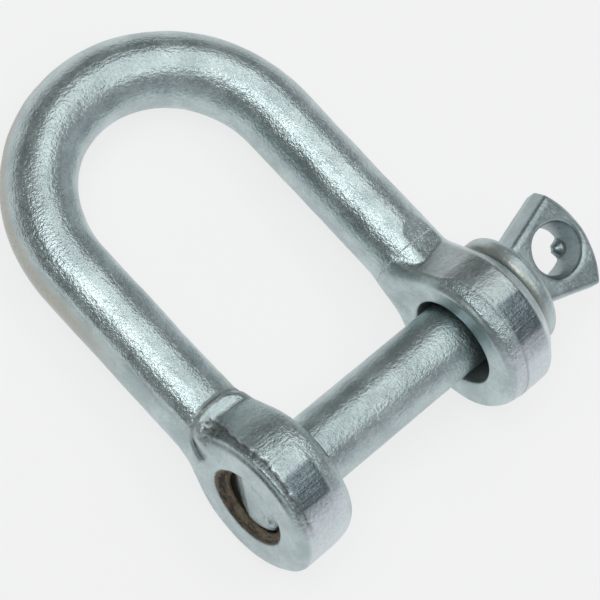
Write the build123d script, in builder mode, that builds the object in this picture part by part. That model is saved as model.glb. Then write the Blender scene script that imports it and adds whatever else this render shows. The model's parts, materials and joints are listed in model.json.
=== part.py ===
from build123d import *
from math import asin, atan, cos, degrees, radians, sqrt
import os

# A forged D-shackle with a screw pin, lying on its side as it comes to rest.
# Millimetres. +X runs along the pin towards its eye head, +Y from the ears to the crown of the bow, +Z is up.
# The origin is the middle of the bounding box's bottom face.

# Bow: one round bar bent to a D
bar_diameter = 10.0
leg_spacing = 35.8           # between the legs' centrelines, also the crown's diameter there
leg_length = 36.7            # from the pin's axis to where the crown's half circle starts
bow_shift = -0.35            # the forging sits a little towards the tapped ear

# Ears: two drums about the pin's axis
gap_width = 27.0             # between the ears' inner faces
ear_thickness = 9.0
ear_diameter = 20.8
ear_inner_face_diameter = 18.8
ear_rim_width = 0.9          # rounded rim at the inner face
ear_rim_diameter = 20.2
ear_shoulder_width = 2.6     # from the inner face to the crease where the full band starts
tapped_chamfer_width = 1.1
tapped_face_diameter = 18.2
clear_chamfer_width = 1.9
clear_face_diameter = 17.2
clear_ear_sag = 1.0          # the clear ear's centre lies this much further from the bow
clear_hole_sag = 0.6         # and its hole's centre this much

# Necks: the flattened length between each leg and its ear
bar_start = 12.6             # from the pin's axis to the bar's rounded end
bar_end_rounding = 0.9
neck_height = 9.3            # a little flatter than the bar
neck_edge_radius = 3.0
neck_reach = 15.0            # from the pin's axis to the neck's end, inside the bar
neck_nose_rounding = 1.4
neck_root = 6.0              # from the pin's axis to where the neck starts inside its ear

# Screw pin
pin_diameter = 9.7
thread_pitch = 1.5
mean_line_depth = 0.325      # from a crest to the thread's mean line, as a share of the pitch
thread_clearance = 0.06      # radial, between the plain cylinders that stand for the two threads
thread_run_past = 1.2        # thread beyond the tapped ear's inner face
tip_recess = 1.1             # the pin's end lies this deep inside the tapped ear
tip_chamfer = 0.8
tapped_mouth_diameter = 11.5
clear_hole_diameter = 12.6
clear_mouth_rounding = 0.5

# Eye head
collar_gap = 0.3             # between the clear ear's outer face and the collar
collar_diameter = 16.0
collar_thickness = 3.0
collar_edge_radius = 1.2
tab_length = 12.2            # from the collar to the top of the end arc
tab_root_width = 8.8
tab_end_width = 15.0
tab_end_radius = 13.0
tab_offset = 0.5             # the tab's middle line lies this far off the pin's axis
tab_thickness = 5.6
tab_face_inset = 0.56        # each face is this much smaller all round than the parting plane
tab_corner_radius = 0.8
eye_from_collar = 7.0
eye_offset = 0.3             # and the eye's centre this far off the tab's middle line
eye_hole_diameter = 6.8
eye_mouth_rounding = 0.4
eye_turn = 18.5              # degrees that the tab is turned about the pin from level

cut_margin = 1.0             # how far a cut runs past the face that it opens
radius_match = 0.001         # how closely an edge's radius is matched when it is picked out

# Worked out from the sizes above
bar_radius = bar_diameter / 2
ear_radius = ear_diameter / 2
leg_x = leg_spacing / 2
inner_x = gap_width / 2
outer_x = inner_x + ear_thickness
ear_x = (inner_x + outer_x) / 2
thread_mean_radius = pin_diameter / 2 - mean_line_depth * thread_pitch
tapped_radius = thread_mean_radius + thread_clearance
collar_x = outer_x + collar_gap
tab_x = collar_x + collar_thickness
crown_y = leg_length + leg_x
lean = degrees(asin((ear_radius - bar_radius) / crown_y))

# The pin's axis lies at the ears' radius above the surface. The box around the part sets where the origin is.
low_x = min(-outer_x, bow_shift - leg_x - bar_radius)
high_x = tab_x + tab_length
low_y = -clear_ear_sag - ear_radius
high_y = crown_y * cos(radians(lean)) + bar_radius
pin_centre = Vector(-(low_x + high_x) / 2, -(low_y + high_y) / 2, ear_radius)

pin_plane = Plane(origin=pin_centre)
pin_axis = Axis(pin_centre, (1, 0, 0))
bow_plane = Plane(origin=pin_centre, x_dir=(1, 0, 0), z_dir=Vector(0, 0, 1).rotate(Axis.X, -lean))
leg_axis = Axis(pin_centre, bow_plane.y_dir)
clear_plane = Plane(origin=pin_centre - Vector(0, clear_ear_sag, 0))
clear_axis = Axis(clear_plane.origin, (1, 0, 0))


def ear_points(side, face_diameter, chamfer_width):
    """Half section of an ear, as distances along the pin and from its axis. side is -1 or 1."""
    return [
        (side * inner_x, 0),
        (side * inner_x, ear_inner_face_diameter / 2),
        (side * (inner_x + ear_rim_width), ear_rim_diameter / 2),
        (side * (inner_x + ear_shoulder_width), ear_radius),
        (side * (outer_x - chamfer_width), ear_radius),
        (side * outer_x, face_diameter / 2),
        (side * outer_x, 0),
    ]


def round_edges(part, radius):
    """The part's circular edges of one radius."""
    circles = part.edges().filter_by(GeomType.CIRCLE)
    return circles.filter_by(lambda edge: abs(edge.radius - radius) < radius_match)


# Shackle body: bar, necks and ears forged in one
with BuildPart() as neck_pair:
    for side in (-1, 1):
        root = bow_plane.from_local_coords((side * ear_x, neck_root, 0))
        with BuildSketch(Plane(origin=root, x_dir=(1, 0, 0), z_dir=bow_plane.y_dir)):
            RectangleRounded(ear_thickness, neck_height, neck_edge_radius)
        extrude(amount=neck_reach - neck_root)
    nose_faces = neck_pair.faces().sort_by(leg_axis)[-2:]
    fillet(nose_faces.edges(), radius=neck_nose_rounding)

with BuildPart() as shackle_body:
    with BuildLine(bow_plane) as bow_line:
        left_leg = Line((bow_shift - leg_x, bar_start), (bow_shift - leg_x, leg_length))
        crown = TangentArc((left_leg @ 1), (bow_shift + leg_x, leg_length, 0), tangent=left_leg % 1)
        Line(crown @ 1, (bow_shift + leg_x, bar_start))
    with BuildSketch(Plane(origin=bow_line.line @ 0, z_dir=bow_line.line % 0)):
        Circle(bar_radius)
    sweep()
    end_faces = shackle_body.faces().sort_by(leg_axis)[:2]
    fillet(end_faces.edges(), radius=bar_end_rounding)
    add(neck_pair.part)
    with BuildSketch(pin_plane):
        with BuildLine():
            Polyline(*ear_points(-1, tapped_face_diameter, tapped_chamfer_width), close=True)
        make_face()
    revolve(axis=pin_axis)
    with BuildSketch(clear_plane):
        with BuildLine():
            Polyline(*ear_points(1, clear_face_diameter, clear_chamfer_width), close=True)
        make_face()
    revolve(axis=clear_axis)

    # Tapped hole, opened to a wide mouth at the outer face
    mouth_depth = tapped_mouth_diameter / 2 - tapped_radius
    with BuildSketch(pin_plane):
        with BuildLine():
            Polyline(
                (-inner_x + cut_margin, 0),
                (-inner_x + cut_margin, tapped_radius),
                (-outer_x + mouth_depth, tapped_radius),
                (-outer_x, tapped_mouth_diameter / 2),
                (-outer_x - cut_margin, tapped_mouth_diameter / 2),
                (-outer_x - cut_margin, 0),
                close=True,
            )
        make_face()
    revolve(axis=pin_axis, mode=Mode.SUBTRACT)

    # Clear hole with rounded mouths
    clear_start = Plane(origin=pin_centre + Vector(inner_x - cut_margin, -clear_hole_sag, 0), z_dir=(1, 0, 0))
    with BuildSketch(clear_start):
        Circle(clear_hole_diameter / 2)
    extrude(amount=ear_thickness + 2 * cut_margin, mode=Mode.SUBTRACT)
    fillet(round_edges(shackle_body, clear_hole_diameter / 2), radius=clear_mouth_rounding)

# Screw pin: tip, shank and collar turned about the pin's axis
with BuildPart() as turned_pin:
    tip_x = -outer_x + tip_recess
    thread_end_x = -inner_x + thread_run_past
    run_out = pin_diameter / 2 - thread_mean_radius
    with BuildSketch(pin_plane):
        with BuildLine():
            Polyline(
                (tip_x, 0),
                (tip_x, thread_mean_radius - tip_chamfer),
                (tip_x + tip_chamfer, thread_mean_radius),
                (thread_end_x, thread_mean_radius),
                (thread_end_x + run_out, pin_diameter / 2),
                (collar_x, pin_diameter / 2),
                (collar_x, collar_diameter / 2),
                (tab_x, collar_diameter / 2),
                (tab_x, 0),
                close=True,
            )
        make_face()
    revolve(axis=pin_axis)
    fillet(round_edges(turned_pin, collar_diameter / 2), radius=collar_edge_radius)

# Eye tab: widest at its parting plane, drawn in to both faces, and rooted inside the collar
tab_across = Vector(0, 1, 0).rotate(Axis.X, eye_turn)
tab_plane = Plane(
    origin=pin_centre + Vector(tab_x, 0, 0) + tab_across * tab_offset,
    x_dir=(1, 0, 0),
    z_dir=Vector(0, 0, 1).rotate(Axis.X, eye_turn),
)
with BuildPart() as eye_tab:
    end_half = tab_end_width / 2
    corner_x = tab_length - (tab_end_radius - sqrt(tab_end_radius**2 - end_half**2))
    flare = (end_half - tab_root_width / 2) / corner_x
    root_x = -collar_thickness / 2
    root_half = tab_root_width / 2 + flare * root_x
    with BuildSketch(tab_plane) as tab_outline:
        with BuildLine():
            Polyline(
                (corner_x, end_half),
                (root_x, root_half),
                (root_x, -root_half),
                (corner_x, -end_half),
            )
            ThreePointArc((corner_x, -end_half), (tab_length, 0), (corner_x, end_half))
        make_face()
        fillet(tab_outline.vertices().sort_by(Axis.X)[-2:], radius=tab_corner_radius)
    extrude(amount=tab_thickness / 2, both=True, taper=degrees(atan(2 * tab_face_inset / tab_thickness)))

with BuildPart() as screw_pin:
    add(turned_pin.part)
    add(eye_tab.part)
    with BuildSketch(tab_plane.offset(-tab_thickness)):
        with Locations((eye_from_collar, eye_offset)):
            Circle(eye_hole_diameter / 2)
    extrude(amount=2 * tab_thickness, mode=Mode.SUBTRACT)
    fillet(round_edges(screw_pin, eye_hole_diameter / 2), radius=eye_mouth_rounding)

os.makedirs("parts", exist_ok=True)
shackle_body.part.label = "shackle_body"
export_step(shackle_body.part, "parts/shackle_body.step")
screw_pin.part.label = "screw_pin"
export_step(screw_pin.part, "parts/screw_pin.step")
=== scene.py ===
"""Dresses a packed D-shackle: a forged, zinc-plated bow and its screw pin, under plain studio light."""

import json
import logging
import math
from dataclasses import dataclass
from enum import Enum
from typing import Any, Callable, Sequence

import bmesh
import bpy
import numpy as np
from mathutils import Matrix, Vector, noise


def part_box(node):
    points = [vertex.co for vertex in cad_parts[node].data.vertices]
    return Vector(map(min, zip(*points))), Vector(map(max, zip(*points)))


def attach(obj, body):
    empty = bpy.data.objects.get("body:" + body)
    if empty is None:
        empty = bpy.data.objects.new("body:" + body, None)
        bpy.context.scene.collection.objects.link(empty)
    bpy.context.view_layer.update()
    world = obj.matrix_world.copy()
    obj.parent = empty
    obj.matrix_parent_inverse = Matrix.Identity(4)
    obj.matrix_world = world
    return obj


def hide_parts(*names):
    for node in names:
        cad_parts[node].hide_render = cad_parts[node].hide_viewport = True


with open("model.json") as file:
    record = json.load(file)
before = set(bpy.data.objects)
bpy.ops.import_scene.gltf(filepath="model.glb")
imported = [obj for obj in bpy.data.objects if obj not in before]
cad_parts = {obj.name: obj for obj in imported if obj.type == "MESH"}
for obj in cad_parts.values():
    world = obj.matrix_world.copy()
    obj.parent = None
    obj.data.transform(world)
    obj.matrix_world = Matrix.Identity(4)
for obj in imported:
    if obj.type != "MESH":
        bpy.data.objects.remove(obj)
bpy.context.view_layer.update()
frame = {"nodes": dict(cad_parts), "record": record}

log = logging.getLogger("shackle")

MM = 0.001  # metres in a millimetre, the unit of every size below
SAME_PLACE = 0.001  # how near two points are when they are one, in millimetres
FINER_FADE = 0.7  # how fast a cloud's finer layers fade
FINER_STEP = 2.0  # how much finer each of its layers is than the one before
Points = np.ndarray  # one row of x, y, z for each point, in millimetres
Values = np.ndarray  # one number for each point
Amount = np.ndarray | float


# Distance fields and noise


def soft_min(a: Amount, b: Amount, width: Amount) -> Values:
    """The lesser of two distances, with the corner between them filled over a width in millimetres."""
    share = np.clip(0.5 + 0.5 * (b - a) / width, 0, 1)
    return b + (a - b) * share - width * share * (1 - share)


def soft_max(a: Amount, b: Amount, width: Amount) -> Values:
    """The greater of two distances, with the edge between them rounded over a width in millimetres."""
    return -soft_min(-a, -b, width)


def greatest(distances: Sequence[Amount], width: float) -> Values:
    """The greatest of several distances, with the edges between them rounded over a width.

    Args:
        distances: The distances, of which each is negative inside.
        width: How wide an edge is rounded, in millimetres.

    Returns:
        One distance for each point.
    """
    found = distances[0]
    for distance in distances[1:]:
        found = soft_max(found, distance, width)
    return found


def bump(value: Amount, middle: Amount, width: float) -> Values:
    """A smooth hill of height 1 about a middle value."""
    return np.exp(-(((value - middle) / width) ** 2))


def rise(value: Amount, start: Amount, end: Amount) -> Values:
    """0 before start, 1 after end, and a smooth step between them. Start may be the greater one."""
    t = np.clip((value - start) / (end - start), 0, 1)
    return t * t * (3 - 2 * t)


def cloud(points: Points, size: float, octaves: int = 3, seed: float = 0.0) -> Values:
    """Smooth noise of about -1 to 1.

    Args:
        points: Where it is read, in millimetres.
        size: The width of its largest lumps, in millimetres.
        octaves: How many finer layers are added.
        seed: A shift that gives another pattern.

    Returns:
        One value for each point.
    """
    basis = "PERLIN_ORIGINAL"
    rows = (points / size + seed).tolist()
    sizes = (FINER_FADE, FINER_STEP, octaves)
    return np.array([noise.fractal(row, *sizes, noise_basis=basis) for row in rows])


def slant(along: Values, out: Values, start: tuple[Amount, float], end: tuple[Amount, float]) -> Values:
    """Distance past the line through two points of a turned solid's half section.

    Args:
        along: Each point's place along the axis.
        out: Each point's distance from the axis.
        start: The line's first point, as (along, out).
        end: Its second point, farther along.

    Returns:
        The distance for each point, negative on the axis's side.
    """
    run, climb = end[0] - start[0], end[1] - start[1]
    return ((out - start[1]) * run - (along - start[0]) * climb) / np.hypot(run, climb)


# Meshes


def add_object(name: str, mesh: bpy.types.ID) -> bpy.types.Object:
    """Puts a mesh or a curve in the scene as an object at the origin.

    Args:
        name: Its name.
        mesh: Its mesh, curve, lamp or camera.

    Returns:
        The object.
    """
    piece = bpy.data.objects.new(name, mesh)
    bpy.context.scene.collection.objects.link(piece)
    return piece


def bake_modifiers(piece: bpy.types.Object) -> None:
    """Makes an object's evaluated shape its plain mesh, and takes its modifiers off.

    Args:
        piece: The object.
    """
    graph = bpy.context.evaluated_depsgraph_get()
    mesh = bpy.data.meshes.new_from_object(piece.evaluated_get(graph), depsgraph=graph)
    piece.modifiers.clear()
    piece.data = mesh


def join_doubles(mesh: bpy.types.Mesh, face_out: bool) -> None:
    """Makes one point of those that lie on each other.

    Args:
        mesh: The mesh.
        face_out: Whether its faces are turned outwards afterwards.
    """
    solid = bmesh.new()
    solid.from_mesh(mesh)
    bmesh.ops.remove_doubles(solid, verts=solid.verts, dist=SAME_PLACE * MM)
    if face_out:
        bmesh.ops.recalc_face_normals(solid, faces=solid.faces)
    solid.to_mesh(mesh)
    solid.free()


def places(mesh: bpy.types.Mesh) -> Points:
    """A mesh's points in millimetres.

    Args:
        mesh: The mesh.

    Returns:
        The places, one row for each point.
    """
    flat = np.empty(len(mesh.vertices) * 3, np.float32)
    mesh.vertices.foreach_get("co", flat)
    return flat.reshape(-1, 3).astype(float) / MM


def move_to(mesh: bpy.types.Mesh, points: Points) -> None:
    """Moves a mesh's points to new places in millimetres."""
    mesh.vertices.foreach_set("co", (points * MM).astype(np.float32).ravel())
    mesh.update()


def normals(mesh: bpy.types.Mesh) -> Points:
    """The outward direction at each of a mesh's points.

    Args:
        mesh: The mesh.

    Returns:
        The directions, one row for each point.
    """
    flat = np.empty(len(mesh.vertices) * 3, np.float32)
    mesh.vertex_normals.foreach_get("vector", flat)
    return flat.reshape(-1, 3).astype(float)


def neighbour_mean(mesh: bpy.types.Mesh) -> Callable[[np.ndarray], np.ndarray]:
    """A function that gives, for values at a mesh's points, the mean over each point's neighbours.

    Args:
        mesh: The mesh.

    Returns:
        The function.
    """
    ends = np.empty(len(mesh.edges) * 2, np.int32)
    mesh.edges.foreach_get("vertices", ends)
    first, second = ends.reshape(-1, 2).T
    count = np.bincount(ends, minlength=len(mesh.vertices)).astype(float)

    def mean(values: np.ndarray) -> np.ndarray:
        """The neighbours' mean of one column, or of each of several.

        Args:
            values: A row of values for each point.

        Returns:
            The means, in the same shape.
        """
        columns = values.reshape(len(values), -1).T
        size = len(values)
        total = [
            np.bincount(first, column[second], size) + np.bincount(second, column[first], size)
            for column in columns
        ]
        return (np.array(total) / count).T.reshape(values.shape)

    return mean


class Sculpture:
    """A dense closed mesh that is grown from a CAD node and pulled onto the surface of a distance field."""

    STEP = 0.01  # how far apart the field is read for its slope
    LONGEST_MOVE = 0.6  # the most that a point moves in one pull
    LEAST_SLOPE = 0.05  # the least squared slope that a pull reckons with
    FIRST_PULLS = 4  # pulls before the mesh is evened out
    NEXT_PULLS = 2  # pulls in each round of evening out
    DRIFT = 0.6  # how much of the way to its neighbours' mean a point drifts in a round
    HOLLOW_SPREAD = 5  # rounds of smoothing that a hollow is measured against

    def __init__(self, name: str, node: str, voxel: float, field: Callable[[Points], Values]) -> None:
        """Remeshes a copy of a CAD node.

        Args:
            name: The new object's name.
            node: The CAD node's name.
            voxel: The mesh's spacing, in millimetres.
            field: The distance field, negative inside.
        """
        self.field = field
        mesh = frame["nodes"][node].data.copy()
        mesh.materials.clear()
        join_doubles(mesh, face_out=False)
        self.piece = add_object(name, mesh)
        remesh = self.piece.modifiers.new("even", "REMESH")
        remesh.mode = "VOXEL"
        remesh.voxel_size = voxel * MM
        bake_modifiers(self.piece)

    @property
    def mesh(self) -> bpy.types.Mesh:
        """The mesh as it is now."""
        return self.piece.data

    def pull(self, points: Points, times: int) -> Points:
        """Moves points along the field's slope until they lie on its surface.

        Args:
            points: Places in the row's frame.
            times: How many pulls are made.

        Returns:
            The moved points.
        """
        for _ in range(times):
            here = self.field(points)
            beside = [self.field(points + self.STEP * axis) for axis in np.eye(3)]
            slope = np.stack([there - here for there in beside], 1) / self.STEP
            step = here[:, None] * slope / np.maximum((slope**2).sum(1, keepdims=True), self.LEAST_SLOPE)
            length = np.maximum(np.linalg.norm(step, axis=1, keepdims=True), 1e-9)
            points = points - step * np.minimum(1, self.LONGEST_MOVE / length)
        return points

    def settle(self, rounds: int) -> None:
        """Evens the mesh out along the surface and pulls it onto the field, several times over.

        Args:
            rounds: How many times the mesh is evened out.
        """
        mean = neighbour_mean(self.mesh)
        points = self.pull(places(self.mesh), self.FIRST_PULLS)
        for _ in range(rounds):
            move_to(self.mesh, points)
            outward = normals(self.mesh)
            drift = mean(points) - points
            drift -= outward * (drift * outward).sum(1, keepdims=True)
            points = self.pull(points + self.DRIFT * drift, self.NEXT_PULLS)
        move_to(self.mesh, points)

    def refine(self, wanted: Callable[[Points], np.ndarray]) -> None:
        """Halves the mesh's spacing where a test of the faces' middles says so.

        Args:
            wanted: A test that says yes or no for each face's middle.
        """
        solid = bmesh.new()
        solid.from_mesh(self.mesh)
        middles = np.array([face.calc_center_median() for face in solid.faces]) / MM
        chosen = {edge for face, use in zip(solid.faces, wanted(middles)) if use for edge in face.edges}
        bmesh.ops.subdivide_edges(solid, edges=list(chosen), cuts=1, use_grid_fill=True)
        bmesh.ops.triangulate(solid, faces=[face for face in solid.faces if len(face.verts) > 4])
        solid.to_mesh(self.mesh)
        solid.free()

    def emboss(self, height: Callable[[Points], Values]) -> None:
        """Moves each point outwards by a height in millimetres that depends on its place."""
        points = places(self.mesh)
        move_to(self.mesh, points + normals(self.mesh) * height(points)[:, None])

    def hollows(self) -> Values:
        """How hollow the surface is at each point, in millimetres: above 0 in creases, below 0 on edges.

        Returns:
            One value for each point.
        """
        mean = neighbour_mean(self.mesh)
        points = places(self.mesh)
        smooth = points
        for _ in range(self.HOLLOW_SPREAD):
            smooth = mean(smooth)
        return ((smooth - points) * normals(self.mesh)).sum(1)

    def store(self, name: str, values: np.ndarray) -> None:
        """Keeps a number or a vector for each point under a name, for the material to read.

        Args:
            name: The attribute's name.
            values: A number or a vector for each point.
        """
        kind, key = ("FLOAT", "value") if values.ndim == 1 else ("FLOAT_VECTOR", "vector")
        attribute = self.mesh.attributes.new(name, kind, "POINT")
        attribute.data.foreach_set(key, values.astype(np.float32).ravel())


# Node trees


class Wire:
    """A value in a node tree. Python's operators on it add Math nodes to its sheet."""

    def __init__(self, sheet: "Sheet", socket: bpy.types.NodeSocket) -> None:
        """Wraps an output socket."""
        self.sheet = sheet
        self.socket = socket

    def __add__(self, other: "Wire | float") -> "Wire":
        """The sum."""
        return self.sheet.math("ADD", self, other)

    __radd__ = __add__

    def __sub__(self, other: "Wire | float") -> "Wire":
        """The difference."""
        return self.sheet.math("SUBTRACT", self, other)

    def __rsub__(self, other: "Wire | float") -> "Wire":
        """The difference from a number."""
        return self.sheet.math("SUBTRACT", other, self)

    def __mul__(self, other: "Wire | float") -> "Wire":
        """The product."""
        return self.sheet.math("MULTIPLY", self, other)

    __rmul__ = __mul__


Value = Wire | float
Colour = Wire | tuple[float, float, float]


class Sheet:
    """A node tree that is written as expressions: a material's, the world's or a modifier's."""

    def __init__(self, tree: bpy.types.NodeTree) -> None:
        """Empties a tree."""
        self.tree = tree
        tree.nodes.clear()

    def node(
        self, kind: str, settings: dict[str, Any] | None = None, values: dict[str | int, Any] | None = None
    ) -> bpy.types.Node:
        """Adds a node.

        Args:
            kind: The node's type.
            settings: Its own settings, which are set before its sockets.
            values: A value, or a Wire to link, for each input by its name or number.

        Returns:
            The node.
        """
        made = self.tree.nodes.new(kind)
        for key, setting in (settings or {}).items():
            setattr(made, key, setting)
        for key, value in (values or {}).items():
            if isinstance(value, Wire):
                self.tree.links.new(value.socket, made.inputs[key])
            elif isinstance(value, tuple) and len(value) == 3 and made.inputs[key].type == "RGBA":
                made.inputs[key].default_value = (*value, 1.0)
            else:
                made.inputs[key].default_value = value
        return made

    def wire(self, made: bpy.types.Node, output: str | int = 0) -> Wire:
        """One of a node's outputs."""
        return Wire(self, made.outputs[output])

    def math(self, operation: str, *values: Value) -> Wire:
        """A Math node's result."""
        return self.wire(self.node("ShaderNodeMath", {"operation": operation}, dict(enumerate(values))))

    def capped(self, value: Wire) -> Wire:
        """A value held between 0 and 1."""
        return self.math("MINIMUM", self.math("MAXIMUM", value, 0.0), 1.0)

    def noise(self, place: Wire, pattern: "Pattern") -> Wire:
        """Noise of 0 to 1 in a pattern.

        Args:
            place: Where it is read.
            pattern: The noise's sizes.

        Returns:
            The noise.
        """
        sizes = {"Scale": pattern.scale, "Detail": pattern.detail, "Roughness": pattern.roughness}
        values = {"Vector": place, **sizes}
        return self.wire(self.node("ShaderNodeTexNoise", {}, values), "Fac")

    def step(self, value: Value, start: float, end: float) -> Wire:
        """0 before start, 1 after end, and smooth between. Start may be the greater one.

        Args:
            value: The value.
            start: Where the step starts.
            end: Where it ends.

        Returns:
            The step.
        """
        if start > end:
            return 1 - self.step(value, end, start)
        settings = {"interpolation_type": "SMOOTHSTEP"}
        values = {"Value": value, "From Min": start, "From Max": end}
        return self.wire(self.node("ShaderNodeMapRange", settings, values))

    def mix(self, share: Value, first: Colour, second: Colour) -> Wire:
        """A colour between two."""
        made = self.node("ShaderNodeMix", {"data_type": "RGBA"}, {0: share, 6: first, 7: second})
        return self.wire(made, 2)

    def scaled(self, place: Wire, factors: tuple[float, float, float]) -> Wire:
        """A place stretched by a factor along each axis."""
        made = self.node("ShaderNodeVectorMath", {"operation": "MULTIPLY"}, {0: place, 1: factors})
        return self.wire(made)

    def parts(self, place: Wire) -> tuple[Wire, Wire, Wire]:
        """The three parts of a vector."""
        made = self.node("ShaderNodeSeparateXYZ", {}, {0: place})
        return self.wire(made, 0), self.wire(made, 1), self.wire(made, 2)

    def attribute(self, name: str, output: str = "Fac") -> Wire:
        """A value stored on the mesh."""
        return self.wire(self.node("ShaderNodeAttribute", {"attribute_name": name}), output)

    def place(self) -> Wire:
        """The object's own coordinates, in millimetres."""
        coordinates = self.wire(self.node("ShaderNodeTexCoord"), "Object")
        return self.scaled(coordinates, (1 / MM, 1 / MM, 1 / MM))

    def surface(self, colour: Colour, metallic: Value, roughness: Value, height: Wire | None) -> None:
        """Ends a material's tree.

        Args:
            colour: The base colour.
            metallic: How metallic it is.
            roughness: How rough it is.
            height: The height of its fine relief in millimetres, if it has one.
        """
        values = {"Base Color": colour, "Metallic": metallic, "Roughness": roughness}
        if height is not None:
            relief = self.node("ShaderNodeBump", {}, {"Strength": 1.0, "Distance": MM, "Height": height})
            values["Normal"] = self.wire(relief)
        shader = self.node("ShaderNodeBsdfPrincipled", {}, values)
        output = self.node("ShaderNodeOutputMaterial")
        self.tree.links.new(shader.outputs[0], output.inputs[0])


def new_material(name: str) -> tuple[bpy.types.Material, Sheet]:
    """A new material and its empty sheet.

    Args:
        name: Its name.

    Returns:
        Both.
    """
    material = bpy.data.materials.new(name)
    material.use_nodes = True
    return material, Sheet(material.node_tree)


# Where things are


@dataclass(frozen=True)
class Setting:
    """The shackle's place in the row's frame, in millimetres."""

    pin_centre: Vector
    lean: float
    floor: float

    @staticmethod
    def from_frame() -> "Setting":
        """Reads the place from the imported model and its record.

        Returns:
            The place.
        """
        pin_span = next(mount for mount in frame["record"]["mounts"] if mount["name"] == "pin_span")
        low, _ = (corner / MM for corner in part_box("shackle_body"))
        _, axis_y, axis_z = (value / MM for value in pin_span["pos_m"])
        middle_x = low.x + BowSizes.bar_radius + BowSizes.leg_offset - BowSizes.bow_shift
        crown_y = BowSizes.leg_length + BowSizes.leg_offset
        lean = math.asin((EarSizes.radius - BowSizes.bar_radius) / crown_y)
        return Setting(Vector((middle_x, axis_y, axis_z)), lean, low.z)

    def about_pin(self, points: Points) -> Points:
        """Points seen from the pin's middle."""
        return points - np.array(self.pin_centre)

    def in_bow(self, points: Points) -> Points:
        """Points in the bow's own plane: x along the pin, y towards the crown, z out of the plane.

        Args:
            points: Places in the row's frame.

        Returns:
            The same points, seen so.
        """
        x, y, z = self.about_pin(points).T
        c, s = math.cos(self.lean), math.sin(self.lean)
        return np.stack((x, c * y - s * z, s * y + c * z), 1)


# The ears


class Side(Enum):
    """Which of the two ears, as the sign of its place along the pin."""

    TAPPED = -1
    CLEAR = 1


@dataclass(frozen=True)
class EarSizes:
    """One ear's sizes in millimetres, from the pin's middle."""

    side: Side
    chamfer: float
    face_radius: float
    facet_start: float
    creases: tuple[tuple[float, float], ...]
    sag: float = 0.0
    jaw: float = 13.5
    thickness: float = 9.0
    radius: float = 10.4
    inner_face_radius: float = 9.4
    rim_width: float = 0.9
    rim_radius: float = 10.05
    neck_height: float = 4.65
    edge: float = 0.22
    rim_share: float = 0.6
    ramp_length: float = 2.2
    ramp_end_edge: float = 0.8

    @property
    def outer(self) -> float:
        """Where the outer face lies along the pin."""
        return self.jaw + self.thickness


TAPPED_EAR = EarSizes(
    Side.TAPPED, chamfer=0.8, face_radius=9.4, facet_start=10.2, creases=((0, 2.4), (90, 2.6), (180, 2.6))
)
CLEAR_EAR = EarSizes(
    Side.CLEAR,
    chamfer=1.9,
    face_radius=8.6,
    facet_start=10.3,
    creases=((30, 0.7), (51, 0.9), (66, 2.2), (79, 2.5), (100, 2.8), (128, 2.9), (180, 2.9)),
    sag=1.0,
)


@dataclass(frozen=True)
class Ear:
    """One ear: a drum about the pin whose outline runs straight on down the ramps to the neck."""

    setting: Setting
    sizes: EarSizes

    def seen(self, bow: Points) -> tuple[Values, Values, Values]:
        """Points as (outwards along the pin, towards the crown, up), from the drum's own centre.

        Args:
            bow: Places in the bow's own plane.

        Returns:
            Three values for each point.
        """
        s = self.sizes
        lean = self.setting.lean
        x, y, z = bow.T
        return s.side.value * x, y + s.sag * math.cos(lean), z + s.sag * math.sin(lean)

    def reach(self, y: Values, z: Values) -> Values:
        """Distance from the drum's axis, or on the bow's side from the ramps' own line.

        Args:
            y: Places towards the crown, from the drum's axis.
            z: Places up from it.

        Returns:
            One value for each point.
        """
        s = self.sizes
        far = math.hypot(s.facet_start, s.neck_height)
        turn = math.atan2(s.neck_height, s.facet_start) + math.acos(s.radius / far)
        past = y * math.sin(turn) - np.abs(z) * math.cos(turn)
        return np.where(past > 0, y * math.cos(turn) + np.abs(z) * math.sin(turn), np.hypot(y, z))

    def angle(self, y: Values, z: Values) -> Values:
        """Degrees about the drum, from the bow's side at 0 over the top or the bottom to 180."""
        return np.degrees(np.arctan2(np.abs(z), y))

    def crease(self, y: Values, z: Values) -> Values:
        """How far from the jaw the shoulder ends in the main band."""
        degrees, widths = zip(*self.sizes.creases)
        return np.interp(self.angle(y, z), degrees, widths)

    def drum(self, bow: Points) -> Values:
        """Distance to the drum with its ramps, without its hole.

        Args:
            bow: Places in the bow's own plane.

        Returns:
            One value for each point.
        """
        s = self.sizes
        u, y, z = self.seen(bow)
        out = self.reach(y, z)
        shoulder = s.jaw + self.crease(y, z)
        rim = s.jaw + np.minimum(s.rim_width, s.rim_share * self.crease(y, z))
        sides = (
            s.jaw - u,
            slant(u, out, (s.jaw, s.inner_face_radius), (rim, s.rim_radius)),
            slant(u, out, (rim, s.rim_radius), (shoulder, s.radius)),
            out - s.radius,
            slant(u, out, (s.outer - s.chamfer, s.radius), (s.outer, s.face_radius)),
            u - s.outer,
        )
        return soft_max(greatest(sides, s.edge), y - s.facet_start - s.ramp_length, s.ramp_end_edge)


# The bow


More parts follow.
